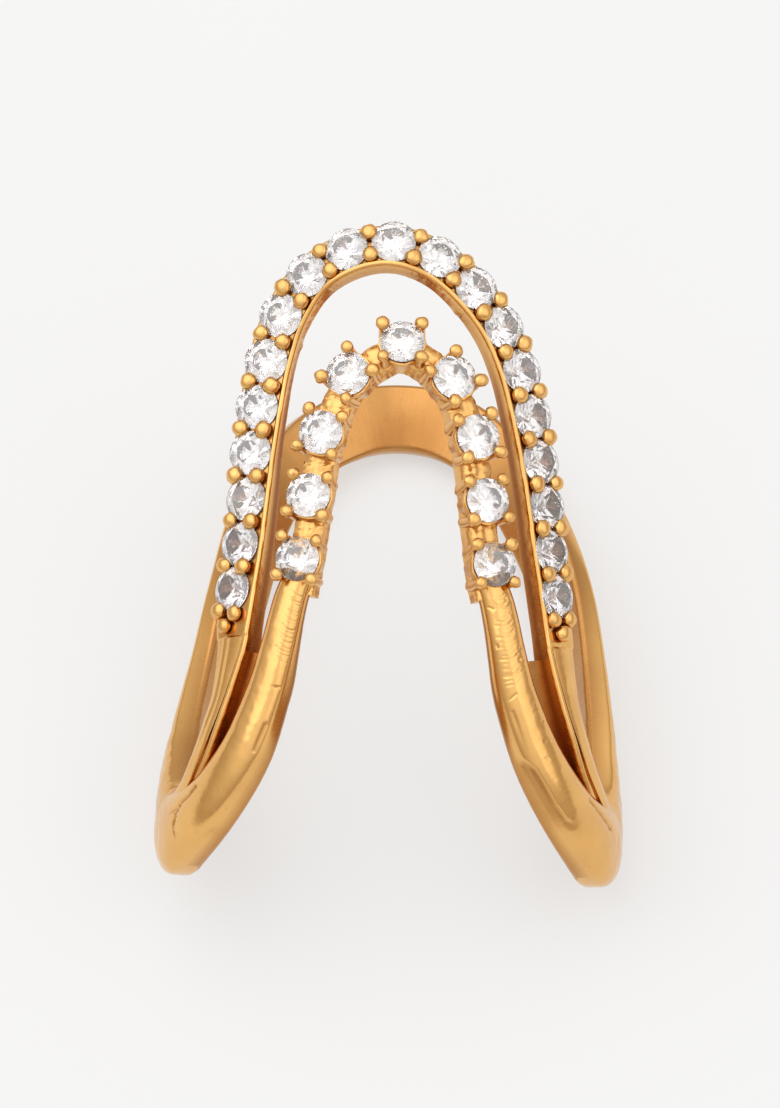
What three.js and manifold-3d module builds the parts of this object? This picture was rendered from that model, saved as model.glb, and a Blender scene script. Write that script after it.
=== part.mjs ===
// A wishbone (vanki) finger ring in gold-plated cast metal, in millimetres.
// Two stone-set arches rise along the front of the finger. Their legs meet in a low tip at each
// side, and a smooth shank climbs from tip to tip round the back.
// The ring is laid out as worn: the finger runs along Z, the arches face -Y. It is then laid down
// on the shank, with its origin under the middle of its box.
import * as THREE from "three";
import { ConvexGeometry } from "three/addons/geometries/ConvexGeometry.js";
import { mergeVertices } from "three/addons/utils/BufferGeometryUtils.js";
import Module from "manifold-3d";

const wasm = await Module();
wasm.setup();

// ---------------------------------------------------------------- driving sizes
const FINGER_RADIUS = 8.75; // inside of the hoop, a size 7 finger 17.5 mm across
const STONE_DIAMETER = 2;
const OUTER_STONES = 19;
const OUTER_DRIFT = 0.12; // the outer stones' even spacing shifts along the arch by this at the top
const OUTER_CROWDING = 0.22; // and by this, back on the left side and on on the right side
const INNER_STONES = 9;
const OUTER_FACE_RADIUS = 10.15; // girdles of the outer stones, from the finger's axis
const INNER_FACE_RADIUS = 10.5; // girdles of the inner stones
const CHANNEL_DEPTH = 1; // outer arch, face to finger side
const CHANNEL_OUTER = 0.9; // from the stones' centres to the channel's outer side
const RAIL_WIDTH = 0.17; // thin raised edge along the channel's inner side
const RAIL_RISE = 0.13;
const BEAD_RADIUS = 0.34;
const BEAD_OUTER = 0.6; // beads stand in pairs, this far outside the stones' centres
const BEAD_INNER = 0.5; // and this far inside
const BEAD_RISE = 0.44;
const POST_RADIUS = 0.12; // stem under a bead or a claw's head, beside the stone's girdle
const CLAW_RADIUS = 0.24; // at the claw's foot
const CLAW_HEAD_RADIUS = 0.29;
const CLAW_ALONG = 0.83; // claws from a stone's centre, along and across the arch
const CLAW_ACROSS = 0.78;
const CLAW_RISE = 0.4;
const CLAW_LEAN = 0.1; // claws close in on the cup's foot by this share of their offset per mm
const CUP_DEPTH = 1.65;
const CUP_TOP_RADIUS = 1.08;
const CUP_FOOT_RADIUS = 0.82;
const CUP_BORE_RADIUS = 0.5;
const BAR_OUTER = 0.6; // gallery bar, from the stones' centres to its outer side
const BAR_INNER = 0.85; // and to its inner side
const SEAT_RADIUS = 1.03; // conical seats, at the girdle
const SEAT_DEPTH = 0.9;
const REST_LEAN = 19.4; // the finger's axis climbs by this angle when the ring lies on its shank
const REST_ROLL = 3.8; // and the ring settles this far round to its heavier side

// Routes lie on the hoop. angle is in degrees from the front centre, height is along the finger
// from the tips. facing and lift say where the face looks, as an angle round the finger and up it.
// inner is the outer arch's width from its stones' centres to its inner side.
const OUTER_ARCH = {
  columns: ["angle", "height", "facing", "lift", "inner"],
  rows: [
    [-47.1, 8.8, -46.5, 0, 1.24],
    [-46.4, 11.05, -42, 2, 1.42],
    [-44.1, 13.1, -35, 4, 1.3],
    [-42.5, 15.2, -28, 6, 1.22],
    [-41.4, 17.3, -19, 7, 1.22],
    [-39.8, 19.3, -15, 8, 1.24],
    [-37.4, 21.3, -11, 9, 1.22],
    [-33.3, 23.35, -9, 10, 1.22],
    [-25.2, 25.25, -7, 12, 1.2],
    [-14.1, 26.3, -4, 13, 1.2],
    [-2.5, 26.55, 0, 13, 1.2],
    [9.1, 25.9, 6, 13, 1.2],
    [19, 24.55, 14, 12, 1.2],
    [26.9, 22.9, 22, 10, 1.2],
    [32.2, 21.05, 27, 9, 1.2],
    [35.9, 19.05, 31, 8, 1.2],
    [38.9, 17, 35, 7, 1.18],
    [41.3, 15, 39, 6, 1.16],
    [43.3, 13.05, 41.5, 4, 1.13],
    [45.6, 11.15, 45, 2, 1.08],
    [48.1, 8.9, 47.5, 0, 1.02],
  ],
};
// The outer arch's legs, which aren't quite alike.
const LEG_COLUMNS = ["angle", "height", "width", "inside", "outside"];
const RIGHT_LEG = {
  columns: LEG_COLUMNS,
  rows: [
    [47.2, 9.5, 1.95, 9.2, 10.2],
    [48.6, 8.3, 1.86, 9.1, 10.28],
    [51.5, 6.4, 1.52, 8.9, 10.35],
    [55.4, 4.9, 1.36, 8.85, 10.45],
    [61, 3.4, 1.26, 8.85, 10.5],
    [68, 2.4, 1.2, 8.95, 10.5],
    [76, 2, 1.06, 9.1, 10.3],
    [83, 2.1, 0.9, 9.2, 9.8],
  ],
};
const LEFT_LEG = {
  columns: LEG_COLUMNS,
  rows: [
    [-46, 9.45, 2.25, 9.2, 10.2],
    [-46.4, 8.25, 2.06, 9.1, 10.28],
    [-49, 6.3, 1.48, 8.9, 10.35],
    [-52, 5, 1.36, 8.85, 10.45],
    [-56.5, 3.6, 1.26, 8.85, 10.5],
    [-62.5, 2.4, 1.2, 8.9, 10.5],
    [-70, 1.85, 1.14, 9, 10.45],
    [-77, 1.8, 1, 9.1, 10.2],
    [-83, 2, 0.86, 9.2, 9.8],
  ],
};
// The sunk web that closes the foot of the slot between an outer leg and its inner leg.
const WEB = {
  columns: ["angle", "height", "width"],
  rows: [
    [41.6, 8.15, 1.5],
    [43.6, 6.6, 1.7],
    [48.5, 4.7, 1.8],
    [56, 3.2, 1.8],
    [66, 2.2, 1.6],
  ],
};
const WEB_INSIDE = 8.9;
const WEB_OUTSIDE = 9.75;
const INNER_ARCH = {
  columns: ["angle", "height", "facing", "lift"],
  rows: [
    [-26.5, 10.6, -16, 0],
    [-24.9, 12, -14, 2],
    [-22.6, 14.8, -11, 5],
    [-20, 17.6, -9, 8],
    [-13.7, 20.3, -6, 10],
    [0, 21.85, 0, 12],
    [13.7, 20.2, 10, 10],
    [19.6, 17.6, 18, 8],
    [22.4, 14.8, 20, 5],
    [24.6, 12, 21, 2],
    [26.5, 10.6, 22, 0],
  ],
};
// The strip that starts as an inner leg, turns up at the tip and becomes the shank. right and
// left are the angles of the same row on the two sides, which aren't quite alike.
const STRIP = {
  columns: ["right", "left", "height", "width", "outside", "crown"],
  rows: [
    [26.2, 26, 11.6, 1.5, 10.35, 0.85],
    [29.5, 29, 10.3, 1.7, 10.4, 0.9],
    [33.3, 32.3, 8, 1.8, 10.45, 0.92],
    [36.8, 35.7, 6, 1.9, 10.5, 0.95],
    [43.9, 42.3, 3.65, 2.2, 10.6, 0.95],
    [54.5, 53, 1.92, 2.6, 10.65, 0.85],
    [66.3, 65.2, 1, 3.3, 10.72, 0.7],
    [79, 79, 0.88, 3.98, 10.72, 0.5],
    [90, 90, 2.3, 3.95, 10.62, 0.4],
    [99.2, 104.4, 5.1, 3.7, 10.4, 0.33],
    [109.8, 117.8, 9, 3.5, 10.22, 0.3],
    [121, 128.6, 13.3, 3.35, 10.1, 0.3],
    [134, 139.6, 17.4, 3.25, 10.1, 0.3],
    [149.4, 151.8, 20.75, 3.2, 10.1, 0.3],
    [164.8, 165.3, 22.5, 3.2, 10.1, 0.3],
    [180, 180, 23, 3.2, 10.1, 0.3],
  ],
};

// ---------------------------------------------------------------- routes and frames
/** The point at an angle round the finger, a height along it and a radius from its axis. */
function onHoop(angle, height, radius) {
  const turn = THREE.MathUtils.degToRad(angle);
  return new THREE.Vector3(radius * Math.sin(turn), -radius * Math.cos(turn), height);
}

/** A table's row at a fractional row number, with each column run smoothly from row to row. */
function rowAt(table, t) {
  const last = table.rows.length - 1;
  const i = Math.min(Math.floor(t), last - 1);
  const pick = (k) => table.rows[Math.min(Math.max(k, 0), last)];
  const [before, from, to, after] = [pick(i - 1), pick(i), pick(i + 1), pick(i + 2)];
  const f = t - i;
  const row = {};
  table.columns.forEach((name, c) => {
    const slopeFrom = (to[c] - before[c]) / 2;
    const slopeTo = (after[c] - from[c]) / 2;
    const ease = f * f * (3 - 2 * f);
    const rise = f * (1 - f) * (1 - f);
    const fall = f * f * (f - 1);
    row[name] = from[c] + (to[c] - from[c]) * ease + slopeFrom * rise + slopeTo * fall;
  });
  return row;
}

/** The same route on the other side of the ring. */
function mirrored(table) {
  const rows = table.rows.map((row) => [-row[0], ...row.slice(1)]);
  return { columns: table.columns, rows };
}

/**
 * Places along a route: evenly spaced rows, each with its point, direction, face and side.
 * shiftOf may move a place on by a length, from its share of the route.
 */
function stations(table, radiusOf, count, shiftOf = () => 0) {
  const last = table.rows.length - 1;
  const steps = last * 24;
  const pointAt = (t) => {
    const row = rowAt(table, Math.min(Math.max(t, 0), last));
    return onHoop(row.angle, row.height, radiusOf(row));
  };
  const lengths = [0];
  for (let k = 1; k <= steps; k++) {
    const from = pointAt(((k - 1) / steps) * last);
    lengths.push(lengths[k - 1] + from.distanceTo(pointAt((k / steps) * last)));
  }
  const places = [];
  for (let k = 0; k < count; k++) {
    const wanted = (lengths[steps] * k) / (count - 1) + shiftOf(k / (count - 1));
    let j = 1;
    while (j < steps && lengths[j] < wanted) j++;
    const part = (wanted - lengths[j - 1]) / (lengths[j] - lengths[j - 1]);
    places.push(stationAt(table, pointAt, ((j - 1 + part) / steps) * last));
  }
  return places;
}

/** One place on a route: along runs down the route, face looks outwards, side lies across. */
function stationAt(table, pointAt, t) {
  const row = rowAt(table, t);
  const near = 0.02;
  const along = pointAt(t + near).sub(pointAt(t - near)).normalize();
  const lift = THREE.MathUtils.degToRad(row.lift ?? 0);
  const looks = onHoop(row.facing ?? row.angle, 0, Math.cos(lift));
  looks.z = Math.sin(lift);
  const face = looks.addScaledVector(along, -looks.dot(along)).normalize();
  const side = new THREE.Vector3().crossVectors(face, along);
  return { ...row, point: pointAt(t), along, side, face };
}

/** The matrix that stands a piece on a place: its x along the route, y across it, z outwards. */
function placing(place, along = 0, across = 0, rise = 0) {
  const point = place.point
    .clone()
    .addScaledVector(place.along, along)
    .addScaledVector(place.side, across)
    .addScaledVector(place.face, rise);
  return new THREE.Matrix4()
    .makeBasis(place.along, place.side, place.face)
    .setPosition(point);
}

// ---------------------------------------------------------------- solids
/** A closed three.js geometry as a manifold-3d solid, moved by a matrix. */
function solidOf(geometry, matrix = new THREE.Matrix4()) {
  const bare = new THREE.BufferGeometry();
  bare.setAttribute("position", geometry.getAttribute("position").clone());
  bare.setIndex(geometry.getIndex());
  const merged = mergeVertices(bare.applyMatrix4(matrix), 1e-4);
  const corners = merged.index.array;
  const kept = [];
  for (let i = 0; i < corners.length; i += 3) {
    const [a, b, c] = [corners[i], corners[i + 1], corners[i + 2]];
    if (a !== b && b !== c && c !== a) kept.push(a, b, c);
  }
  const vertProperties = new Float32Array(merged.attributes.position.array);
  const triVerts = new Uint32Array(kept);
  return new wasm.Manifold(new wasm.Mesh({ numProp: 3, vertProperties, triVerts }));
}

/** A manifold-3d solid as a three.js geometry. */
function geometryOf(solid) {
  const mesh = solid.getMesh();
  const geometry = new THREE.BufferGeometry();
  geometry.setAttribute("position", new THREE.BufferAttribute(mesh.vertProperties, 3));
  geometry.setIndex(new THREE.BufferAttribute(mesh.triVerts, 1));
  return geometry;
}

/** A bar with the given section at each place. A section lists points as [across, outwards]. */
function swept(places, sectionOf) {
  const rings = places.map((place) =>
    sectionOf(place).map(([across, rise]) =>
      place.point.clone().addScaledVector(place.side, across).addScaledVector(place.face, rise),
    ),
  );
  const sides = rings[0].length;
  const points = rings.flat();
  const faces = [];
  for (let k = 0; k + 1 < rings.length; k++) {
    for (let i = 0; i < sides; i++) {
      const [a, b] = [k * sides + i, k * sides + ((i + 1) % sides)];
      faces.push(a, b, a + sides, b, b + sides, a + sides);
    }
  }
  const middle = (ring) =>
    ring.reduce((sum, p) => sum.add(p), new THREE.Vector3()).divideScalar(sides);
  const start = points.push(middle(rings[0])) - 1;
  const end = points.push(middle(rings[rings.length - 1])) - 1;
  const lastRing = (rings.length - 1) * sides;
  for (let i = 0; i < sides; i++) {
    const next = (i + 1) % sides;
    faces.push(start, next, i);
    faces.push(end, lastRing + i, lastRing + next);
  }
  const geometry = new THREE.BufferGeometry().setFromPoints(points);
  geometry.setIndex(faces);
  return solidOf(geometry);
}

/** A turned piece about z. Its profile lists [radius, height] from the foot to the top. */
function turned(profile, sides) {
  const outline = profile.map(([radius, height]) => new THREE.Vector2(radius, height));
  return new THREE.LatheGeometry(outline, sides).rotateX(Math.PI / 2);
}

/** A rounded bar's section: flat on the finger side, crowned outside by the given rise. */
function crownedSection(width, thickness, crown) {
  const half = width / 2;
  const edge = Math.min(0.3, thickness / 4);
  const shoulder = -crown - edge * 0.6;
  return [
    [-half + edge, -thickness],
    [half - edge, -thickness],
    [half, -thickness + edge],
    [half, shoulder],
    [half * 0.83, -crown * 0.42],
    [half * 0.4, 0],
    [-half * 0.4, 0],
    [-half * 0.83, -crown * 0.42],
    [-half, shoulder],
    [-half, -thickness + edge],
  ];
}

// ---------------------------------------------------------------- pieces of the ring
/** The strip: down the right inner leg, round its tip, over the back and down to the left. */
function strip() {
  const columns = ["angle", ...STRIP.columns.slice(2)];
  const right = STRIP.rows.map(([angle, , ...rest]) => [angle, ...rest]);
  const left = STRIP.rows.slice(0, -1).map(([, angle, ...rest]) => [360 - angle, ...rest]);
  const table = { columns, rows: [...right, ...left.reverse()] };
  return swept(
    stations(table, (row) => row.outside, 66),
    (place) => crownedSection(place.width, place.outside - FINGER_RADIUS, place.crown),
  );
}

/** One leg of the outer arch, rounded outside, that runs down into its tip. */
function outerLeg(table) {
  const places = stations(table, (row) => row.outside, 10);
  return swept(places, (place) =>
    crownedSection(place.width, place.outside - place.inside, 0.3),
  );
}

/** The web beside one outer leg. */
function web(table) {
  const floor = WEB_INSIDE - WEB_OUTSIDE;
  return swept(stations(table, () => WEB_OUTSIDE, 7), ({ width }) => [
    [-width / 2, floor],
    [width / 2, floor],
    [width / 2, 0],
    [-width / 2, 0],
  ]);
}

/** The outer arch's bar under its stones, with a raised rail along its inner side. */
function channel() {
  const places = stations(OUTER_ARCH, () => OUTER_FACE_RADIUS, 41);
  return swept(places, ({ inner }) => [
    [-inner + 0.12, -CHANNEL_DEPTH],
    [CHANNEL_OUTER - 0.2, -CHANNEL_DEPTH],
    [CHANNEL_OUTER, -CHANNEL_DEPTH + 0.2],
    [CHANNEL_OUTER, -0.06],
    [-inner + RAIL_WIDTH, -0.06],
    [-inner + RAIL_WIDTH, RAIL_RISE],
    [-inner, RAIL_RISE],
  ]);
}

/** Where the outer stones sit, first at the left foot and last at the right. */
function outerSeats() {
  const rows = OUTER_ARCH.rows.slice(1, -1);
  const table = { columns: OUTER_ARCH.columns, rows };
  const shiftOf = (share) =>
    OUTER_DRIFT * Math.sin(Math.PI * share) - OUTER_CROWDING * Math.sin(2 * Math.PI * share);
  return stations(table, () => OUTER_FACE_RADIUS, OUTER_STONES, shiftOf);
}

/** Where the inner stones sit. */
function innerSeats() {
  const rows = INNER_ARCH.rows.slice(1, -1);
  const table = { columns: INNER_ARCH.columns, rows };
  return stations(table, () => INNER_FACE_RADIUS, INNER_STONES);
}

/** The places half way between neighbouring seats. */
function between(seats) {
  return seats.slice(1).map((seat, i) => {
    const before = seats[i];
    const blend = (name) => before[name].clone().add(seat[name]);
    const point = blend("point").divideScalar(2);
    const along = blend("along").normalize();
    const face = blend("face").normalize();
    face.addScaledVector(along, -face.dot(along)).normalize();
    const side = new THREE.Vector3().crossVectors(face, along);
    return { point, along, side, face };
  });
}

/** The beads that hold the outer stones: pairs between stones, three beyond each last stone. */
function beads(seats) {
  const bead = turned(
    [
      [0, -0.3],
      [POST_RADIUS, -0.3],
      [POST_RADIUS, 0.1],
      [BEAD_RADIUS, 0.22],
      [BEAD_RADIUS * 0.7, BEAD_RISE - 0.06],
      [0, BEAD_RISE],
    ],
    5,
  );
  const gap = seats[1].point.distanceTo(seats[0].point);
  const spots = between(seats).flatMap((place) => [
    placing(place, 0, BEAD_OUTER),
    placing(place, 0, -BEAD_INNER),
  ]);
  for (const [seat, way] of [
    [seats[0], -1],
    [seats[seats.length - 1], 1],
  ]) {
    spots.push(placing(seat, way * (gap / 2 + 0.06), BEAD_INNER));
    spots.push(placing(seat, way * (gap / 2 + 0.06), -BEAD_INNER));
    spots.push(placing(seat, way * (gap / 2 + 0.7), 0));
  }
  return spots.map((spot) => solidOf(bead, spot));
}

/** The cup under one inner stone. */
function cup(seat) {
  const geometry = turned(
    [
      [0, -CUP_DEPTH],
      [CUP_FOOT_RADIUS, -CUP_DEPTH],
      [CUP_TOP_RADIUS, -0.08],
      [0, -0.08],
    ],
    8,
  ).rotateZ(Math.PI / 8);
  return solidOf(geometry, placing(seat));
}

/** The four claws of one cup, which lean out as they rise and end in heads over the stone. */
function claws(seat) {
  const claw = turned(
    [
      [0, -CUP_DEPTH + 0.1],
      [CLAW_RADIUS, -CUP_DEPTH + 0.1],
      [POST_RADIUS, 0.08],
      [CLAW_HEAD_RADIUS, 0.18],
      [CLAW_HEAD_RADIUS * 0.7, CLAW_RISE - 0.06],
      [0, CLAW_RISE],
    ],
    5,
  );
  const solids = [];
  for (const along of [-CLAW_ALONG, CLAW_ALONG]) {
    for (const across of [-CLAW_ACROSS, CLAW_ACROSS]) {
      const lean = new THREE.Matrix4().makeShear(0, 0, 0, 0, along * CLAW_LEAN, across * CLAW_LEAN);
      solids.push(solidOf(claw, placing(seat, along, across).multiply(lean)));
    }
  }
  return solids;
}

/** The bar that joins the inner cups from leg to leg. */
function galleryBar() {
  const places = stations(INNER_ARCH, () => INNER_FACE_RADIUS, 26);
  return swept(places, () => [
    [-BAR_INNER, -CUP_DEPTH],
    [BAR_OUTER, -CUP_DEPTH],
    [BAR_OUTER, -0.5],
    [0, -0.36],
    [-BAR_INNER, -0.5],
  ]);
}

/** A round brilliant: an octagonal table, crown and pavilion facets and a narrow girdle. */
function brilliant() {
  const radius = STONE_DIAMETER / 2;
  const ring = (count, r, z, start) =>
    Array.from({ length: count }, (_, i) => {
      const turn = (2 * Math.PI * (i + start)) / count;
      return new THREE.Vector3(r * Math.cos(turn), r * Math.sin(turn), z);
    });
  return new ConvexGeometry([
    ...ring(8, radius * 0.56, radius * 0.33, 0),
    ...ring(8, radius * 0.8, radius * 0.205, 0.5),
    ...ring(16, radius, radius * 0.04, 0),
    ...ring(16, radius, -radius * 0.04, 0),
    ...ring(8, radius * 0.42, -radius * 0.52, 0.5),
    new THREE.Vector3(0, 0, -radius * 0.86),
  ]);
}

/** The conical space cut out for a stone's pavilion, flats along the arch. */
function seatCut(sides) {
  const radius = SEAT_RADIUS / Math.cos(Math.PI / sides);
  const cone = [
    [0, -SEAT_DEPTH],
    [radius * 1.4, SEAT_DEPTH * 0.4],
    [0, SEAT_DEPTH * 0.4],
  ];
  return turned(cone, sides).rotateZ(Math.PI / sides);
}

/** The cast metal: the bars and cups less the stones' seats, with beads and claws on them. */
function castMetal(outer, inner) {
  const join = wasm.Manifold.union;
  const bars = join([
    strip(),
    channel(),
    galleryBar(),
    outerLeg(RIGHT_LEG),
    outerLeg(LEFT_LEG),
    web(WEB),
    web(mirrored(WEB)),
    ...inner.map(cup),
  ]);
  const bore = turned(
    [
      [0, -CUP_DEPTH - 1],
      [CUP_BORE_RADIUS, -CUP_DEPTH - 1],
      [CUP_BORE_RADIUS, 0],
      [0, 0],
    ],
    8,
  ).rotateZ(Math.PI / 8);
  const cuts = join([
    ...outer.map((seat) => solidOf(seatCut(10), placing(seat))),
    ...inner.map((seat) => solidOf(seatCut(8), placing(seat))),
    ...inner.map((seat) => solidOf(bore, placing(seat))),
  ]);
  return join([bars.subtract(cuts), ...beads(outer), ...inner.flatMap(claws)]);
}

// ---------------------------------------------------------------- the assembly
const gold = new THREE.MeshStandardMaterial({
  color: 0xdfa648,
  roughness: 0.28,
  metalness: 1,
});
const clear = new THREE.MeshStandardMaterial({
  color: 0xe4e6ee,
  roughness: 0.03,
  metalness: 0,
});

function addStones(group, seats, stone, nameOf) {
  seats.forEach((seat, i) => {
    const mesh = new THREE.Mesh(stone, clear.clone());
    mesh.name = nameOf(i + 1);
    placing(seat).decompose(mesh.position, mesh.quaternion, mesh.scale);
    group.add(mesh);
  });
}

function ring() {
  const stone = brilliant();
  const outer = outerSeats();
  const inner = innerSeats();
  const worn = new THREE.Group();
  const metal = new THREE.Mesh(geometryOf(castMetal(outer, inner)), gold);
  metal.name = "ring_body";
  worn.add(metal);
  addStones(worn, outer, stone, (n) => "outer_stone_" + String(n).padStart(2, "0"));
  addStones(worn, inner, stone, (n) => "inner_stone_" + n);
  worn.rotation.x = THREE.MathUtils.degToRad(REST_LEAN - 90);
  const rolled = new THREE.Group();
  rolled.rotation.y = THREE.MathUtils.degToRad(REST_ROLL);
  rolled.add(worn);
  const laid = new THREE.Group();
  laid.add(rolled);
  laid.updateMatrixWorld(true);
  const box = new THREE.Box3().setFromObject(laid, true);
  const middle = box.getCenter(new THREE.Vector3());
  rolled.position.set(-middle.x, -middle.y, -box.min.z);
  return laid;
}

export default ring();
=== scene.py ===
"""A gold-plated wishbone finger ring set with clear stones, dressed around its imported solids.

Every piece is laid out as worn, in millimetres: the finger runs along Z and the arches face -Y.
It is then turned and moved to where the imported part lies, in metres.
"""

from math import copysign, cos, exp, pi, radians, sin

import bmesh
import bpy
import numpy as np
from mathutils import Matrix, Vector, noise


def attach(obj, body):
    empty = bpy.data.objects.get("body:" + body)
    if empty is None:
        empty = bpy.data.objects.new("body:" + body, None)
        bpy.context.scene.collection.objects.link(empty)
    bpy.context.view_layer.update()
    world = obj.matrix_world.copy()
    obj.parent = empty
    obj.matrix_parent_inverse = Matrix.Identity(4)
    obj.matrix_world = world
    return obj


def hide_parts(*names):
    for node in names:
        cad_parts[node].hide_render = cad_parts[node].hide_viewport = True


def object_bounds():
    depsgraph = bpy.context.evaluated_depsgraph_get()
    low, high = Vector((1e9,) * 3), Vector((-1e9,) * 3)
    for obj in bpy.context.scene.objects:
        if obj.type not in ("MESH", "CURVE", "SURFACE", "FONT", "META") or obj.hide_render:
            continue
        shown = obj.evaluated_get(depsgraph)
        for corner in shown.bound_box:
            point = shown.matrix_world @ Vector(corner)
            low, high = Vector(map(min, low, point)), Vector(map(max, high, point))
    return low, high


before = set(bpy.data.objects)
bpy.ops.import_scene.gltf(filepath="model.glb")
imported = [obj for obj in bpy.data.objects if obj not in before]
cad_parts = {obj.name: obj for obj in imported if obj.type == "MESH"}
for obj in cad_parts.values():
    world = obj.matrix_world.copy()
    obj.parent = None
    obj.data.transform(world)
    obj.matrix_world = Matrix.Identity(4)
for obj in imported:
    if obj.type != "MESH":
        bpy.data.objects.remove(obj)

bl_info = {
    "name": "Wishbone Finger Ring",
    "version": (1, 0, 0),
    "blender": (4, 5, 0),
    "location": "3D View > Sidebar > Ring",
    "description": "Builds a stone-set wishbone ring, its finishes and its studio",
    "category": "Object",
}

MM = 0.001
CAD_BOX = [list(corner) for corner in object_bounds()]
REST_LEAN = 19.4  # degrees that the finger's axis climbs as the ring lies
REST_ROLL = 3.8  # and that the ring settles to one side
OUTER_FACE_RADIUS = 10.15  # girdles of the outer stones, from the finger's axis
INNER_FACE_RADIUS = 10.5
FINGER_RADIUS = 8.75
OUTER_STONES = [f"outer_stone_{i + 1:02d}" for i in range(19)]
INNER_STONES = [f"inner_stone_{i + 1}" for i in range(9)]
PLAN_RADIUS = 10.5  # at which the strip's face is unrolled, to lay out the lines on it
FACE_STEPS = 45  # points across the strip's outer face
STRIP_STATIONS, ARCH_STATIONS, GALLERY_STATIONS, WEB_STATIONS = 1250, 1100, 420, 60
FINGER_SIDE_MARKS = 4  # keeps file lines on the finger side apart from those outside

# ---- routes
# angle runs round the finger from the front, height along it from the tips, both as worn.
# facing and lift say where the face looks. inner and outer are the bar's widths from its line.
ARCH_COLUMNS = ("angle", "height", "radius", "facing", "lift", "inner", "outer", "depth")
RIGHT_LEG = [
    (47.5, 9.5, 10.18, 46.5, 0, 1.05, 0.92, 1.0),
    (48.7, 8.3, 10.25, 48.6, 0, 0.98, 0.88, 1.1),
    (51.5, 6.4, 10.35, 51.5, 0, 0.76, 0.76, 1.4),
    (55.4, 4.9, 10.45, 55.4, 0, 0.68, 0.68, 1.6),
    (61, 3.4, 10.5, 61, 0, 0.62, 0.64, 1.6),
    (68, 2.4, 10.5, 68, 0, 0.6, 0.6, 1.5),
    (76, 2.0, 10.35, 76, 0, 0.52, 0.54, 1.3),
    (84, 2.1, 10.0, 84, 0, 0.42, 0.46, 0.9),
]
LEFT_LEG = [
    (46.9, 9.5, 10.18, 46.0, 0, 1.32, 0.98, 1.0),
    (47.1, 8.3, 10.25, 47.6, 0, 1.16, 0.9, 1.1),
    (49, 6.3, 10.35, 49.8, 0, 0.74, 0.74, 1.4),
    (52, 5.0, 10.45, 52.6, 0, 0.68, 0.68, 1.6),
    (56.5, 3.6, 10.5, 57, 0, 0.62, 0.64, 1.6),
    (62.5, 2.4, 10.5, 62.5, 0, 0.6, 0.6, 1.55),
    (70, 1.85, 10.45, 70, 0, 0.58, 0.56, 1.4),
    (77, 1.8, 10.3, 77, 0, 0.5, 0.5, 1.2),
    (84, 2.0, 10.0, 84, 0, 0.42, 0.44, 0.9),
]
# Shallow lines along an outer leg: (place across it, width, depth).
LEFT_LEG_LINES = [(0.05, 0.13, 0.03), (0.42, 0.1, 0.03)]
RIGHT_LEG_LINES = [(0.36, 0.14, 0.03)]
ARCH_LUMPS = [(25.1, 0.22), (37.3, 0.25)]  # casting lumps on the inner wall: (length run, size)
ARCH_ROUTE = [
    (-46.4, 11.05, -42, 2, 1.42),
    (-44.1, 13.1, -35, 4, 1.3),
    (-42.5, 15.2, -28, 6, 1.22),
    (-41.4, 17.3, -19, 7, 1.22),
    (-39.8, 19.3, -15, 8, 1.24),
    (-37.4, 21.3, -11, 9, 1.22),
    (-33.3, 23.35, -9, 10, 1.22),
    (-25.2, 25.25, -7, 12, 1.2),
    (-14.1, 26.3, -4, 13, 1.2),
    (-2.5, 26.55, 0, 13, 1.2),
    (9.1, 25.9, 6, 13, 1.2),
    (19, 24.55, 14, 12, 1.2),
    (26.9, 22.9, 22, 10, 1.2),
    (32.2, 21.05, 27, 9, 1.2),
    (35.9, 19.05, 31, 8, 1.2),
    (38.9, 17, 35, 7, 1.18),
    (41.3, 15, 39, 6, 1.16),
    (43.3, 13.05, 41.5, 4, 1.13),
    (45.6, 11.15, 45, 2, 1.08),
]
OUTER_DRIFT = 0.12  # the outer stones' even spacing shifts along the arch by this at the top
OUTER_CROWDING = 0.22  # and by this away from the top, half way down each side
SEAT_COLUMNS = ("angle", "height", "facing", "lift")
INNER_ROUTE = [
    (-26.5, 10.6, -16, 0),
    (-24.9, 12, -14, 2),
    (-22.6, 14.8, -11, 5),
    (-20, 17.6, -9, 8),
    (-13.7, 20.3, -6, 10),
    (0, 21.85, 0, 12),
    (13.7, 20.2, 10, 10),
    (19.6, 17.6, 18, 8),
    (22.4, 14.8, 20, 5),
    (24.6, 12, 21, 2),
    (26.5, 10.6, 22, 0),
]
# The strip starts as an inner leg, turns up at the tip and becomes the shank.
STRIP_COLUMNS = ("angle", "height", "width", "outside", "crown", "edge")
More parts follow.
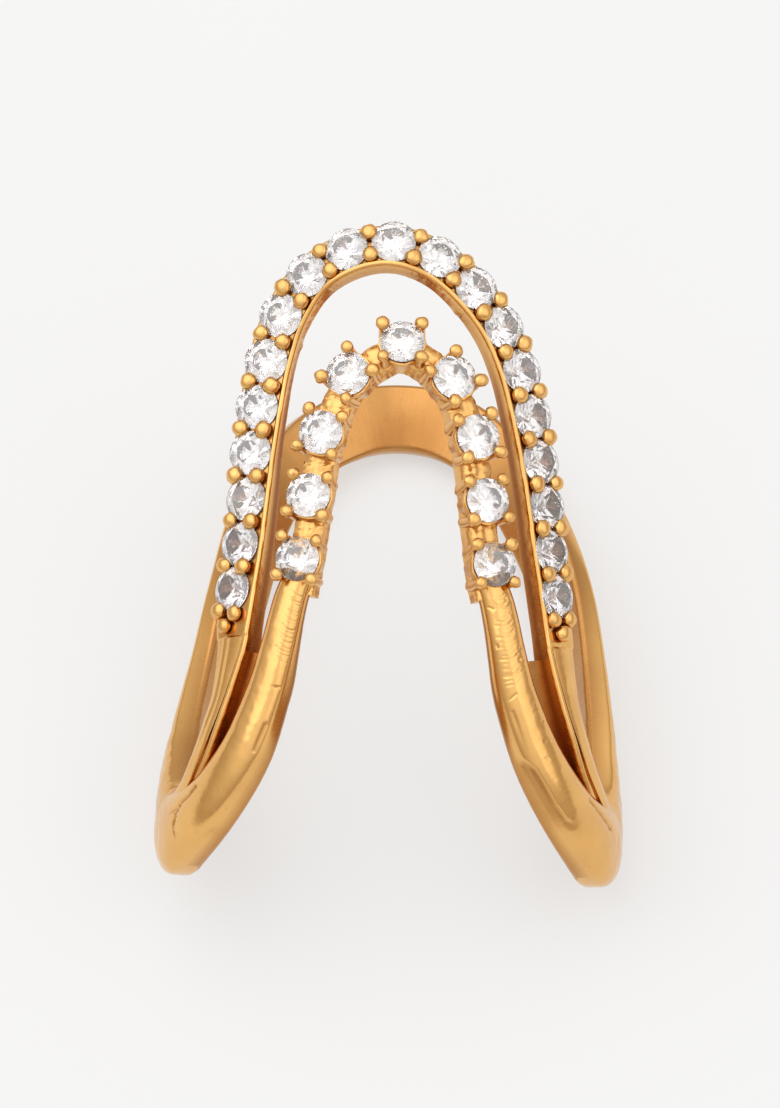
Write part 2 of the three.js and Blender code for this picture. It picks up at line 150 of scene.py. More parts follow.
# right and left angles, height, width, outside radius, right and left crowns, finger-side edge
STRIP_ROUTE = [
    (24.8, 25.6, 11.6, 1.4, 10.35, 0.75, 0.5, 0.7),
    (27.9, 28.6, 10.3, 1.56, 10.4, 0.75, 0.5, 0.7),
    (31.8, 32.0, 8, 1.72, 10.45, 0.8, 0.52, 0.65),
    (35.9, 35.7, 6, 1.9, 10.5, 0.85, 0.56, 0.55),
    (43.7, 42.5, 3.65, 2.2, 10.6, 0.85, 0.66, 0.4),
    (54.6, 53, 1.92, 2.6, 10.65, 0.85, 0.78, 0.34),
    (66.6, 65.2, 1, 3.3, 10.72, 0.8, 0.8, 0.42),
    (79, 79, 0.88, 3.98, 10.72, 0.75, 0.75, 0.5),
    (90, 90, 2.3, 3.95, 10.62, 0.6, 0.6, 0.45),
    (99.2, 104.4, 5.1, 3.7, 10.4, 0.45, 0.45, 0.34),
    (109.8, 117.8, 9, 3.5, 10.22, 0.36, 0.36, 0.28),
    (121, 127.2, 13.3, 3.35, 10.1, 0.3, 0.3, 0.26),
    (137.2, 136.9, 17.75, 3.1, 10.1, 0.3, 0.3, 0.26),
    (151, 150.6, 20.85, 3.05, 10.1, 0.3, 0.3, 0.26),
    (164.8, 165.3, 22.5, 3.2, 10.1, 0.3, 0.3, 0.26),
    (180, 180, 23, 3.2, 10.1, 0.3, 0.3, 0.26),
]
LEG_THINNING = 0.34  # mm off the finger side at the tops of the inner legs
LEG_CLOSENESS = 8.0  # mm by which the strip's even stations crowd toward its legs
# Lines worked or worn into the strip's outer face: (width, depth, places by angle and height).
STRIP_SCORES = [
    (0.075, 0.11, [(-54.8, 2.2), (-57.4, 1.86), (-60.8, 1.62), (-63.3, 1.19), (-64.8, 0.64)]),
    (0.06, 0.05, [(-64.8, 0.64), (-64.5, 0.05)]),
    (0.05, 0.07, [(-60.3, 1.66), (-63.4, 1.42), (-67, 1.2)]),
    (0.04, 0.05, [(-31.1, 6.31), (-29.4, 6.28), (-27.9, 6.09)]),
    (0.09, 0.12, [(-33.2, 4.6), (-34.8, 4), (-36.2, 3.45)]),
    (0.065, 0.13, [(31.8, 5.5), (33, 5.05), (34.2, 4.55), (36.2, 3.75)]),
    (0.07, 0.11, [(57.9, 2.18), (63.3, 1.67), (69.4, 1.18)]),
    (0.04, 0.03, [(24.2, 10.1), (25.2, 10.0)]),
    (0.05, 0.04, [(24.5, 9.2), (25.1, 9.1)]),
    (0.04, 0.04, [(26.7, 8.45), (27, 8.3)]),
    (0.05, 0.05, [(32.6, 7.9), (32.8, 7.8)]),
    (0.04, 0.04, [(32, 6.3), (30.7, 5.99)]),
    (0.04, 0.03, [(41, 3.6), (41.6, 3.5)]),
    (0.04, 0.03, [(40.2, 4.4), (40.4, 4.3)]),
]
# Where the inner leg stands proud of the band below it: places by angle and height.
RIGHT_LEDGE = [(31.6, 4.5), (34.1, 4), (36.8, 3.5), (39.6, 3.1), (43.1, 2.38), (46.9, 1.66)]
RIGHT_LEDGE += [(50.8, 1.12), (54.7, 0.84)]
LEFT_LEDGE = [(-35, 3.05), (-39.7, 2.18), (-44.6, 1.38), (-51.2, 0.5), (-57.5, -0.05)]
STRIP_LEDGES = [(0.09, RIGHT_LEDGE), (0.06, LEFT_LEDGE)]  # each with its drop
# The web closes the foot of the slot between an outer leg and its inner leg.
WEB_RADIUS = 9.75
WEB_COLUMNS = ("angle", "height", "width")
WEB_ROUTE = [(41.6, 8.15, 1.5), (43.6, 6.6, 1.7), (48.5, 4.7, 1.8), (56, 3.2, 1.8), (66, 2.2, 1.6)]
SEAT_TOP, BORE_FOOT = 1.0, -3.2  # how far the solids that cut the seats reach
# A brilliant's rings of corners: (count, radius, height, turn), as shares of the stone's radius.
BRILLIANT_RINGS = [
    (8, 0.56, 0.33, 0.0),
    (8, 0.78, 0.221, 0.5),
    (32, 1.0, 0.03, 0.0),
    (32, 1.0, -0.03, 0.0),
    (8, 0.24, -0.676, 0.5),
]
CULET = -0.86
# The metal's finishes: (file lines, casting grain, gloss loss, relief in mm).
GOLD_FINISHES = {
    "gold_filed": (0.1, 0.25, 0.12, 0.006),
    "gold_polished": (0.1, 0.2, 0.11, 0.006),
    "gold_cast": (0.15, 0.9, 0.22, 0.02),
    "gold_beads": (0.05, 0.3, 0.16, 0.01),
}
CREVICE_REACH = 0.5  # mm from which crevices in the metal get painted shade
FLOOR_GLOW = 1.8  # a light table's share, which keeps shadows pale
WORLD_STRENGTH, KEY_POWER, FILL_POWER = 1.15, 1.45, 0.4
CAMERA_TARGET = (0, 0, 13)  # as worn, in mm
CAMERA_DISTANCE = 300
CAMERA_DIP = 12  # degrees below square-on to the finger
CAMERA_ROLL = 1.7
CAMERA_LENS = 212
CAMERA_AIM = (-0.271, 1.379)  # mm right of and above the target


def on_hoop(angle, height, radius):
    """The point at an angle round the finger, a height along it and a radius from its axis."""
    turn = radians(angle)
    return np.array([radius * sin(turn), -radius * cos(turn), height])


def row_at(columns, rows, t):
    """The row at a fractional row number, with each column run smoothly from row to row."""
    last = len(rows) - 1
    i = min(int(t), last - 1)
    f = t - i
    before, start, end, after = (
        np.array(rows[min(max(k, 0), last)], float) for k in (i - 1, i, i + 1, i + 2)
    )
    ease = f * f * (3 - 2 * f)
    values = start + (end - start) * ease + (end - before) / 2 * f * (1 - f) ** 2
    values += (after - start) / 2 * f * f * (f - 1)
    return dict(zip(columns, values))


class Place(dict):
    """One place on a route, with its row's values and its point, along, side and face."""

    __getattr__ = dict.__getitem__


def unit(vector):
    return vector / np.linalg.norm(vector)


def point_at(columns, rows, radius, t):
    """A route's point at a row number. radius is a number, or the column that holds it."""
    row = row_at(columns, rows, min(max(t, 0), len(rows) - 1))
    return on_hoop(row["angle"], row["height"], row.get(radius, radius))


def facing_place(point, along, looks, row=()):
    """A place whose face is square to its run and looks about this way."""
    face = unit(looks - along * looks.dot(along))
    return Place(row, point=point, along=along, side=np.cross(face, along), face=face)


def place_at(columns, rows, radius, t):
    row = row_at(columns, rows, t)
    before, point, after = (point_at(columns, rows, radius, t + k) for k in (-0.02, 0, 0.02))
    along = unit(after - before)
    lift = radians(row.get("lift", 0))
    looks = on_hoop(row.get("facing", row["angle"]), 0, cos(lift))
    looks[2] = sin(lift)
    return facing_place(point, along, looks, row)


def stations(columns, rows, radius, count, shift_of=None):
    """Evenly spaced places along a route. Each also keeps its length run so far, in mm.

    shift_of may move a place on by a length, from its share of the route.
    """
    last = len(rows) - 1
    ts = np.linspace(0, last, last * 24 + 1)
    points = np.array([point_at(columns, rows, radius, t) for t in ts])
    runs = np.linalg.norm(np.diff(points, axis=0), axis=1)
    lengths = np.concatenate([[0], np.cumsum(runs)])
    share = np.linspace(0, 1, count)
    wanted = share * lengths[-1] + (shift_of(share) if shift_of else 0)
    places = []
    for length, t in zip(wanted, np.interp(wanted, lengths, ts)):
        place = place_at(columns, rows, radius, t)
        place["run"] = length
        places.append(place)
    return places


def spot(place, along=0.0, across=0.0, rise=0.0):
    """A point beside a place, as worn."""
    return place.point + place.along * along + place.side * across + place.face * rise


def arch_rows():
    """The outer arch's whole line, from the left tip over the top to the right tip."""
    left = [(-a, h, r, -f, lift, *rest) for a, h, r, f, lift, *rest in reversed(LEFT_LEG)]
    top = [(a, h, OUTER_FACE_RADIUS, f, lift, w, 0.9, 1.0) for a, h, f, lift, w in ARCH_ROUTE]
    return left + top + RIGHT_LEG


def strip_rows():
    """The strip's whole line, from the right inner leg round the back to the left inner leg."""
    right = [(a, h, w, o, crown, edge) for a, _, h, w, o, crown, _, edge in STRIP_ROUTE]
    left = [(360 - a, h, w, o, crown, edge) for _, a, h, w, o, _, crown, edge in STRIP_ROUTE]
    return right + left[-2::-1]


def outer_seats():
    def shift_of(share):
        top, sides = np.sin(pi * share), np.sin(2 * pi * share)
        return OUTER_DRIFT * top - OUTER_CROWDING * sides

    rows = [(a, h, f, lift) for a, h, f, lift, _ in ARCH_ROUTE]
    return stations(SEAT_COLUMNS, rows, OUTER_FACE_RADIUS, len(OUTER_STONES), shift_of)


def inner_seats():
    return stations(SEAT_COLUMNS, INNER_ROUTE[1:-1], INNER_FACE_RADIUS, len(INNER_STONES))


def between(seats):
    """The places half way between neighbouring seats."""
    return [
        facing_place((a.point + b.point) / 2, unit(a.along + b.along), a.face + b.face)
        for a, b in zip(seats, seats[1:])
    ]


# ---- worn to lying
def resting_matrix():
    """From as worn, in mm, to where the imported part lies, in metres, found from its stones."""
    lean = Matrix.Rotation(radians(REST_LEAN - 90), 4, "X")
    turn = Matrix.Rotation(radians(REST_ROLL), 4, "Y") @ lean
    moves = []
    for name, seat in zip(OUTER_STONES + INNER_STONES, outer_seats() + inner_seats()):
        corners = {tuple(round(c, 7) for c in v.co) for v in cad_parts[name].data.vertices}
        centre = np.mean(list(corners), axis=0)
        turned = turn @ Vector(spot(seat, rise=-0.013) * MM)
        moves.append(Vector(centre) - turned)
    move = sum(moves, Vector()) / len(moves)
    return Matrix.Translation(move) @ turn @ Matrix.Scale(MM, 4)


TO_REST = resting_matrix()


# ---- mesh building
def smoothstep(low, high, value):
    t = np.clip((value - low) / (high - low), 0, 1)
    return t * t * (3 - 2 * t)


def bump_noise(point, size, octaves=3):
    """Smooth noise about -1 to 1, with features about this size in mm."""
    return noise.fractal(Vector(point) / size, 0.6, 2.0, octaves)


class Skin:
    """Collects vertices, faces, marks coordinates and the painted shade of recesses for one
    piece's mesh.
    """

    def __init__(self):
        self.points, self.faces, self.marks, self.recess = [], [], [], []

    def sweep(self, rings):
        """A closed tube through rings of equal (points, marks, painted shade), with a fan at each
        end.
        """
        base, sides, count = len(self.points), len(rings[0][0]), len(rings)
        for points, marks, recess in rings:
            self.points.extend(points)
            self.marks.extend(marks)
            self.recess.extend(recess)
        for k in range(count - 1):
            for i in range(sides):
                a, b = base + k * sides + i, base + k * sides + (i + 1) % sides
                self.faces.append((a, b, b + sides, a + sides))
        for k, turn in ((0, -1), (count - 1, 1)):
            points, marks, recess = rings[k]
            self.points.append(np.mean(points, axis=0))
            self.marks.append(marks[0])
            self.recess.append(recess[0])
            hub, start = len(self.points) - 1, base + k * sides
            for i in range(sides):
                edge = (start + i, start + (i + 1) % sides)[::turn]
                self.faces.append((*edge, hub))

    def turned(self, profile, sides, stand, bend=None):
        """A turned piece. profile lists (radius, height), closed on the axis or on itself."""
        base, rows = len(self.points), len(profile)
        closed = profile[0][0] > 1e-6
        for k, (radius, height) in enumerate(profile):
            for i in range(sides):
                turn = 2 * pi * i / sides
                point = (radius * cos(turn), radius * sin(turn), height)
                self.points.append(stand(*(bend(*point) if bend else point)))
                self.marks.append((turn * 0.5, k * 0.1))
                self.recess.append(0.0)
        for k in range(rows if closed else rows - 1):
            for i in range(sides):
                a, b = base + k * sides + i, base + k * sides + (i + 1) % sides
                up = sides if k < rows - 1 else -k * sides
                self.faces.append((a, b, b + up, a + up))

    def piece(self, name, material, smooth_angle=40):
        """The finished object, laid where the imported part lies."""
        mesh = bpy.data.meshes.new(name)
        mesh.from_pydata([tuple(p) for p in self.points], [], self.faces)
        marks = mesh.attributes.new("marks", "FLOAT2", "POINT")
        marks.data.foreach_set("vector", np.array(self.marks, np.float32).ravel())
        recess = mesh.attributes.new("recess", "FLOAT", "POINT")
        recess.data.foreach_set("value", np.array(self.recess, np.float32))
        mesh.transform(TO_REST)
        clean(mesh)
        mesh.materials.append(material)
        shade(mesh, smooth_angle)
        return new_object(name, mesh)


def new_object(name, data):
    obj = bpy.data.objects.new(name, data)
    bpy.context.scene.collection.objects.link(obj)
    return obj


def clean(mesh):
    """Merges points that meet, drops faces with no area and turns all faces outwards."""
    work = bmesh.new()
    work.from_mesh(mesh)
    bmesh.ops.remove_doubles(work, verts=work.verts, dist=1e-7)
    bmesh.ops.dissolve_degenerate(work, edges=work.edges, dist=1e-8)
    bmesh.ops.recalc_face_normals(work, faces=work.faces)
    work.to_mesh(mesh)
    work.free()


def shade(mesh, angle):
    mesh.shade_smooth()
    mesh.set_sharp_from_angle(angle=radians(angle))


def cut(obj, cutters):
    """Takes the cutters' solids out of a piece."""
    cutter = cutters.piece("seat_cutter", obj.data.materials[0])
    change = obj.modifiers.new("Seats", "BOOLEAN")
    change.operation = "DIFFERENCE"
    change.solver = "MANIFOLD"
    change.object = cutter
    evaluated = obj.evaluated_get(bpy.context.evaluated_depsgraph_get())
    cut_mesh = bpy.data.meshes.new_from_object(evaluated)
    if len(cut_mesh.polygons) < 100:
        raise RuntimeError("the stone seats could not be cut")
    obj.modifiers.clear()
    old, obj.data = obj.data, cut_mesh
    bpy.data.meshes.remove(old)
    bpy.data.objects.remove(cutter)
    shade(obj.data, 40)


def adopt(obj, node):
    """Rides a finished piece on the ring's one body and hides the imported part that it stands
    for.
    """
    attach(obj, "root")
    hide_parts(node)


def standing(place, along=0.0, across=0.0):
    """A function that stands a turned piece's point on a place."""
    foot = spot(place, along, across)

    def stand(x, y, z):
        return foot + place.along * x + place.side * y + place.face * z

    return stand


# ---- sections
def corner(centre, radius, start, end, steps):
    """Points on an arc of a section. Angles are in degrees from the outer side, upwards."""
    turns = np.radians(np.linspace(start, end, steps))
    return [(centre[0] + radius * cos(t), centre[1] + radius * sin(t)) for t in turns]


def strip_section(place):
    """The strip's section: flat and eased on the finger side, rounded outside."""
    half = place.width / 2
    thick = place.outside - FINGER_RADIUS - LEG_THINNING * smoothstep(1.85, 1.5, place.width)
    edge = min(place.edge, thick / 2.1, half * 0.94)
    shoulder = min(place.crown + 0.2, thick - edge - 0.04)
    points = []
    for turn in np.radians(np.linspace(0, 180, FACE_STEPS)):
        across = copysign(abs(cos(turn)) ** 0.86, cos(turn))
        points.append((half * across, -shoulder * (1 - sin(turn) ** 0.86)))
    points += corner((-half + edge, -thick + edge), edge, 180, 270, 8)
    points += corner((half - edge, -thick + edge), edge, 270, 360, 8)
    return points


def arch_section(place, floor, crown, rail, nick, grooves):
    """The outer arch's section: a floor, a gutter with nicks, a raised edge and a deep wall."""
    inner, outer, deep = place.inner, place.outer, place.depth
    points = corner((outer - 0.12, floor - 0.14 - crown), 0.12, 0, 80, 5)
    for across in np.linspace(outer - 0.2, -inner + 0.3, 25):
        fall = crown * abs((across - (outer - inner) / 2) / (outer + inner) * 2) ** 2.4
        dip = sum(exp(-(((across - at) / wide) ** 2)) * sink for at, wide, sink in grooves)
        points.append((across, floor - fall - dip))
    foot = floor - crown * 0.8
    gutter = 0.08 * min(rail / 0.12, 1) + nick
    points += [(-inner + 0.31, foot - gutter * 0.6), (-inner + 0.285, foot - gutter)]
    points += [(-inner + 0.26, foot - gutter * 0.6)]
    points += corner((-inner + 0.19, foot + rail - 0.05), 0.05, 20, 80, 4)
    points += corner((-inner + 0.15, foot + rail - 0.15), 0.15, 95, 180, 9)
    wall = foot + rail - 0.2
    for share in np.linspace(0, 1, 9):
        points.append((-inner + 0.05 * share**2, wall + (-deep + 0.12 - wall) * share))
    points += corner((-inner + 0.15, -deep + 0.1), 0.1, 190, 270, 4) + [(0, -deep)]
    points += corner((outer - 0.3, -deep + 0.2), 0.2, 270, 360, 5)
    points.append((outer - 0.03, -deep * 0.5))
    return points


def worked(points, faces, top, share, scores, ledges):
    """Presses scores and ledges into a piece's points along their outward directions, faces.

    top, 0 to 1, says how far scores may move each point, and share how far ledges may.
    """
    points, faces, top, share = map(np.array, (points, faces, top, share))
    plan = np.stack([np.arctan2(points[:, 0], -points[:, 1]) * PLAN_RADIUS, points[:, 2]], axis=1)
    drop = np.zeros(len(points))
    for width, depth, path in scores:
        distance, _, _ = from_path(plan, path)
        drop = np.maximum(drop, depth * np.exp(-((distance / width) ** 2)) * top)
    for depth, path in ledges:
        distance, below, on = from_path(plan, path)
        way = np.sign(path[0][0])
        first = abs(radians(path[0][0])) * PLAN_RADIUS
        begun = smoothstep(-0.2, 1.0, way * plan[:, 0] - first)
        fade = begun * (1 - smoothstep(0.75, 1, on)) * (distance < 3)
        drop += depth * fade * smoothstep(-0.03, 0.1, distance * below * way) * share
    return points - faces * drop[:, None], drop


def from_path(plan, path):
    """Each point's distance from a path, which side it lies on and how far along it is."""
    line = np.array([(radians(angle) * PLAN_RADIUS, height) for angle, height in path])
    best = np.full(len(plan), 1e9)
    below, on = np.zeros(len(plan)), np.zeros(len(plan))
    for k, (start, end) in enumerate(zip(line, line[1:])):
        run = end - start
        t = np.clip((plan - start) @ run / (run @ run), 0, 1)
        gap = plan - start - t[:, None] * run
        distance = np.hypot(gap[:, 0], gap[:, 1])
        closer = distance < best
        best[closer] = distance[closer]
        below[closer] = np.sign(run[1] * gap[:, 0] - run[0] * gap[:, 1])[closer]
        on[closer] = ((k + t) / (len(line) - 1))[closer]
    return best, below, on


# ---- finishes
class Nodes:
    """Short ways to add and join nodes of one tree."""

    def __init__(self, tree):
        self.tree = tree
        self.link = tree.links.new

    def add(self, kind, links=None, **settings):
        node = self.tree.nodes.new(kind)
        for key, value in settings.items():
            setattr(node, key, value)
        for key, value in (links or {}).items():
            if isinstance(value, bpy.types.NodeSocket):
                self.link(value, node.inputs[key])
            else:
                node.inputs[key].default_value = value
        return node

    def math(self, operation, a, b=0.0, c=0.0):
        return self.add("ShaderNodeMath", {0: a, 1: b, 2: c}, operation=operation).outputs[0]

    def mix(self, share, a, b):
        return self.add("ShaderNodeMix", {0: share, 6: a, 7: b}, data_type="RGBA").outputs[2]

    def ramp(self, value, low, high):
        return self.add("ShaderNodeMapRange", {0: value, 1: low, 2: high}).outputs[0]

    def noise(self, scale, detail=2.0, where=None):
        where = where or self.add("ShaderNodeTexCoord").outputs["Object"]
        links = {"Vector": where, "Scale": scale, "Detail": detail}
        return self.add("ShaderNodeTexNoise", links).outputs["Fac"]


def new_material(name):
    """A new material, with its nodes and its shader's inputs."""
    material = bpy.data.materials.new(name)
    material.use_nodes = True
    tree = material.node_tree
    return material, Nodes(tree), tree.nodes["Principled BSDF"].inputs


def gold_surface_group():
    """Plated gold's uneven colour, painted shade in recesses and pits, file lines, ripples and
    pits, as one node group.
    """
    found = bpy.data.node_groups.get("Plated gold surface")
    if found:
        return found
    group = bpy.data.node_groups.new("Plated gold surface", "ShaderNodeTree")
    for way, kind, names in (
        ("INPUT", "Color", ("Gold", "Deep gold and shade")),
        ("INPUT", "Vector", ("Marks",)),
        ("INPUT", "Float", ("Recess shade", "File lines", "Casting grain", "Gloss loss")),
        ("OUTPUT", "Color", ("Colour",)),
        ("OUTPUT", "Float", ("Roughness", "Height")),
    ):
        for name in names:
            group.interface.new_socket(name=name, in_out=way, socket_type="NodeSocket" + kind)
    n = Nodes(group)
    given = n.add("NodeGroupInput").outputs
    put = n.add("NodeGroupOutput")
    place = n.add("ShaderNodeTexCoord").outputs["Object"]
    tone = n.ramp(n.noise(420.0, 3.0, place), 0.3, 0.72)
    grain = n.noise(3800.0, 4.0, place)
    pits = n.add("ShaderNodeTexVoronoi", {"Vector": place, "Scale": 1500.0}, feature="F1")
    pit_mask = n.ramp(pits.outputs["Distance"], 0.16, 0.04)
    stretch = {"Vector": given["Marks"], "Scale": (14.0, 1.1, 1.0)}
    lines = n.noise(1.0, 5.0, n.add("ShaderNodeMapping", stretch).outputs[0])
    waves = {"Vector": given["Marks"], "Scale": 1.1, "Distortion": 5.0, "Detail": 2.0}
    ripples = n.add("ShaderNodeTexWave", waves).outputs["Fac"]
    warm = n.mix(n.math("MULTIPLY", tone, 0.16), given["Gold"], given["Deep gold and shade"])
    # Painted shade: recesses take on the deep gold colour, and also grow a little rougher.
    colour = n.mix(given["Recess shade"], warm, given["Deep gold and shade"])
    specks = n.math("MULTIPLY", pit_mask, given["Casting grain"])
    # Painted shade: pits are also darkened toward deep gold, besides being sunk by the bump.
    colour = n.mix(n.math("MULTIPLY", specks, 0.55), colour, given["Deep gold and shade"])
    rough = n.math("MULTIPLY_ADD", n.ramp(lines, 0.35, 0.75), 0.1, given["Gloss loss"])
    rough = n.math("MULTIPLY_ADD", tone, 0.07, rough)
    rough = n.math("MULTIPLY_ADD", given["Recess shade"], 0.2, rough)
    height = n.math("MULTIPLY", lines, given["File lines"])
    height = n.math("MULTIPLY_ADD", ripples, n.math("MULTIPLY", given["File lines"], 0.35), height)
    height = n.math("MULTIPLY_ADD", grain, n.math("MULTIPLY", given["Casting grain"], 0.5), height)
    height = n.math("SUBTRACT", height, n.math("MULTIPLY", specks, 0.8))
    for name, socket in (("Colour", colour), ("Roughness", rough), ("Height", height)):
        n.link(socket, put.inputs[name])
    return group


def gold_finish(name):
    """A plated gold material with its own share of file lines and casting grain, and painted shade
    in its crevices.
    """
    file_lines, grain, gloss_loss, relief = GOLD_FINISHES[name]
    colours = bpy.context.scene.ring_colours
    material, n, shader = new_material(name)
    shader["Metallic"].default_value = 1.0
    marks = n.add("ShaderNodeAttribute", attribute_name="marks").outputs["Vector"]
    recess = n.add("ShaderNodeAttribute", attribute_name="recess").outputs["Fac"]
    # Painted shade: ambient occlusion darkens the metal toward crevices and between parts, where
    # shade falls.
    crevice = n.add("ShaderNodeAmbientOcclusion", {"Distance": CREVICE_REACH * MM}, samples=6)
    crevice_shade = n.ramp(crevice.outputs["AO"], 0.56, 0.14)
    recess = n.math("MAXIMUM", recess, n.math("MULTIPLY", crevice_shade, 0.9))
    given = {"Gold": (*colours.gold, 1), "Deep gold and shade": (*colours.deep_gold_and_shade, 1)}
    given |= {"Recess shade": recess, "Marks": marks, "File lines": file_lines}
    given |= {"Casting grain": grain, "Gloss loss": gloss_loss}
    surface = n.add("ShaderNodeGroup", given, node_tree=gold_surface_group()).outputs
    n.link(surface["Colour"], shader["Base Color"])
    n.link(surface["Roughness"], shader["Roughness"])
    bump = {"Strength": 0.5, "Distance": relief * MM, "Height": surface["Height"]}
    n.link(n.add("ShaderNodeBump", bump).outputs[0], shader["Normal"])
    return material


def stone_finish():
    """Clear cut stone with a faint cool and warm drift inside it."""
    found = bpy.data.materials.get("clear_stone_cut")
    if found:
        return found
    colours = bpy.context.scene.ring_colours
    material, n, shader = new_material("clear_stone_cut")
    shader["Transmission Weight"].default_value = 0.9
    shader["IOR"].default_value = 2.15
    shader["Roughness"].default_value = 0.0
    drift = n.ramp(n.noise(900.0), 0.4, 0.62)
    tint = n.mix(drift, (*colours.stone, 1), (*colours.stone_cool, 1))
    n.link(tint, shader["Base Color"])
    return material


# ---- stones
def brilliant_mesh(name, diameter, twist):
    """A round brilliant with its table, stars, kites, halves, girdle and pavilion."""
    radius = diameter / 2
    work = bmesh.new()
    for count, r, z, start in BRILLIANT_RINGS:
        for i in range(count):
            turn = 2 * pi * (i + start) / count + twist
            work.verts.new((r * cos(turn) * radius, r * sin(turn) * radius, z * radius))
    work.verts.new((0, 0, CULET * radius))
    bmesh.ops.convex_hull(work, input=work.verts)
    bmesh.ops.dissolve_limit(work, angle_limit=radians(1.2), verts=work.verts, edges=work.edges)
    bmesh.ops.recalc_face_normals(work, faces=work.faces)
    mesh = bpy.data.meshes.new(name)
    work.to_mesh(mesh)
    work.free()
    return mesh


def set_stones(sizes, names, seats):
    """One cut stone in each seat, each turned and tipped a little its own way."""
    material = stone_finish()
    rng = np.random.default_rng(11)
    diameter = sizes.stone_diameter / MM
    for node, seat in zip(names, seats):
        mesh = brilliant_mesh(node + "_cut", diameter, rng.uniform(0, 0.8))
        tip, lean = rng.uniform(-0.03, 0.03, 2)
        basis = Matrix((seat.along, seat.side, seat.face)).transposed().to_4x4()
        wobble = Matrix.Rotation(tip, 4, "X") @ Matrix.Rotation(lean, 4, "Y")
        mesh.transform(TO_REST @ Matrix.Translation(seat.point) @ basis @ wobble)
        mesh.materials.append(material)
        adopt(new_object(node + "_cut", mesh), node)


# ---- metal pieces
def dome_profile(stem, head, foot, waist, top):
    """A stem with a rounded, slightly flattened head: radii in mm, heights from foot to top."""
    profile = [(0, foot), (stem, foot), (stem, waist - 0.05)]
    belly = waist + (top - waist) * 0.35
    for t in np.radians(np.linspace(-55, 90, 12)):
        rise = (top - belly) if t > 0 else (belly - waist)
        profile.append((head * max(cos(t), 0.0) ** 0.8, belly + rise * sin(t)))
    return profile


def lumpy(strength, seed):
    """Bends a turned piece's points a little, so that no two heads are quite alike."""
    shift = np.random.default_rng(seed).uniform(-20, 20, 3)

    def bend(x, y, z):
        push = 1 + strength * bump_noise(np.array([x, y, z]) + shift, 0.35, 2)
        return x * push, y * push, z + strength * 0.1 * (push - 1)

    return bend


def seat_cutters(seats, radius, depth, bore=0.0):
    """The solids that stones, and bores under them, take out of the metal."""
    profile = [(0, -depth)]
    if bore:
        profile = [(0, BORE_FOOT), (bore, BORE_FOOT), (bore, -depth * (1 - bore / radius))]
    profile += [(radius, -0.04), (radius, SEAT_TOP), (0, SEAT_TOP)]
    cutters = Skin()
    for seat in seats:
        cutters.turned(profile, 40, standing(seat))
    return cutters


def chatter_arcs():
    """Short curved strokes across the tops of the inner legs, left by a file that chattered."""
    rng = np.random.default_rng(17)
    arcs = []
    for way, first, last, count in ((-1, 10.35, 7.5, 15), (1, 10.7, 6.7, 22)):
        for share in np.linspace(0, 1, count):
            height = first + (last - first) * share + rng.uniform(-0.06, 0.06)
            middle = 26 + way + 4 * share + rng.uniform(-0.5, 0.5)
            reach = rng.uniform(1.0, 2.2)
            curve = [(middle + reach, height + 0.2), (middle + reach * 0.4, height)]
            curve += [(middle - reach * 0.4, height - 0.08), (middle - reach, height - 0.07)]
            arcs.append((0.035, rng.uniform(0.008, 0.026), [(way * a, h) for a, h in curve]))
    return arcs


def right_leg_pits():
    """Small pits down the right inner leg, beside its middle line."""
    rng = np.random.default_rng(23)
    spots = zip(rng.uniform(26, 42, 14), rng.uniform(-0.5, 0.5, 14))
    pits = []
    for angle, aside in spots:
        height = np.interp(angle, [25.3, 28.6, 32.6, 36.5, 44.1], [11.6, 10.3, 8, 6, 3.65]) + aside
        pits.append((0.03, 0.035, [(angle, height), (angle + 0.15, height - 0.03)]))
    return pits


def build_strip(sizes, material):
    def crowd(share):
        return -LEG_CLOSENESS * np.sin(2 * pi * share)

    places = stations(STRIP_COLUMNS, strip_rows(), "outside", STRIP_STATIONS, crowd)
    total = places[-1].run
    points, faces, top, share, marks = [], [], [], [], []
    for place in places:
        from_end = min(place.run, total - place.run)
        leg = 1 - smoothstep(8, 12, from_end)
        shank = smoothstep(13, 16, from_end) * (1 - smoothstep(22, 27, from_end))
        section = strip_section(place)
        for k, (across, rise) in enumerate(section):
            point = spot(place, 0, across, rise)
            outer = 1.0 if k < FACE_STEPS else 0.0
            before, after = section[max(k - 1, 0)], section[(k + 1) % len(section)]
            out = place.side * (after[1] - before[1]) - place.face * (after[0] - before[0])
            push = 0.014 * bump_noise(point, 1.5) * leg + 0.004 * bump_noise(point, 0.5)
            push += (0.03 * bump_noise(point, 1.3) + 0.006 * bump_noise(point, 0.4)) * shank
            strokes = sin(place.run * 6 + 2.5 * across**2 + 4 * bump_noise(point, 2))
            push += 0.003 * strokes * shank * outer
            points.append(spot(place, 0, across, rise + push * sizes.hand_marks))
            faces.append(unit(out))
            able = outer * sizes.hand_marks
            top.append(able * smoothstep(-0.55, -0.3, rise))
            share.append(able * smoothstep(-1.25, -0.9, rise))
            marks.append((place.run, across + (0 if outer else FINGER_SIDE_MARKS)))
    scores = STRIP_SCORES + chatter_arcs() + right_leg_pits()
    points, pressed = worked(points, faces, top, share, scores, STRIP_LEDGES)
    sides = len(points) // len(places)
    # Painted shade: the finger side is darkened, and the pressed scores and ledges darken the
    # deeper they go.
    finger_side_shade = np.where(np.array(marks)[:, 1] > 2.2, 0.5, 0.0)
    recess = np.clip(pressed * 5, finger_side_shade, 0.7)
    rings = zip(
        points.reshape(-1, sides, 3),
        np.array(marks).reshape(-1, sides, 2),
        recess.reshape(-1, sides),
    )
    skin = Skin()
    skin.sweep(list(rings))
    return skin.piece("strip", material)


